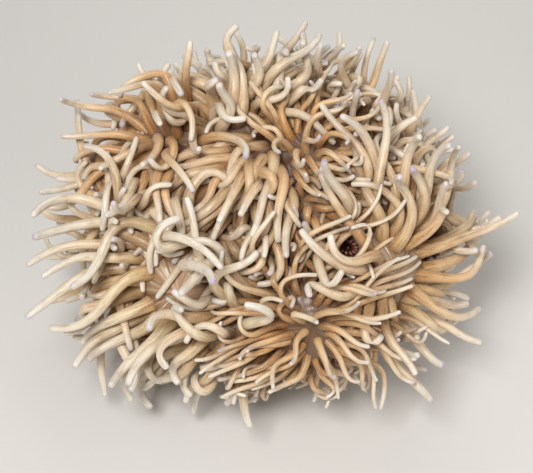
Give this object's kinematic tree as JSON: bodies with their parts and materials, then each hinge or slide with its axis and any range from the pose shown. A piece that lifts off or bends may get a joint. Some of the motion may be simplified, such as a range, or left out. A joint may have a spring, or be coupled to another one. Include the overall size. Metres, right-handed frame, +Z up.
{
  "type": "sea anemone",
  "caption": "Leathery sea anemone at rest on its foot: a short trunk under a folded disc whose lobes are crowded with long, tapering, blunt-tipped tentacles.",
  "frame": {"origin": "middle of the flat underside of the foot, on the surface that it stands on", "axes": "+Z up through the column to the crown; -Y is the side with the front lobe and, to its right, the mouth's lobe; +X to that side's right"},
  "size_m": [0.3998, 0.3614, 0.2808],
  "materials": {
    "foot": "damp, leathery",
    "column": "damp, leathery",
    "oral_disc": "soft and moist",
    "mouth": "soft and moist",
    "tentacles": "soft and moist"
  },
  "bodies": {
    "root": {"pedal_disc": "foot", "column": "column", "oral_disc": "oral_disc", "mouth": "mouth", "lobe_front": "tentacles", "lobe_top": "tentacles", "lobe_left": "tentacles", "lobe_right": "tentacles", "lobe_inner": "tentacles", "lobe_front_left": "tentacles", "lobe_front_low": "tentacles", "lobe_middle": "tentacles", "lobe_left_side": "tentacles", "lobe_back_left": "tentacles", "lobe_back": "tentacles", "lobe_back_right": "tentacles", "lobe_right_side": "tentacles", "lobe_back_top": "tentacles"}
  },
  "joints": []
}
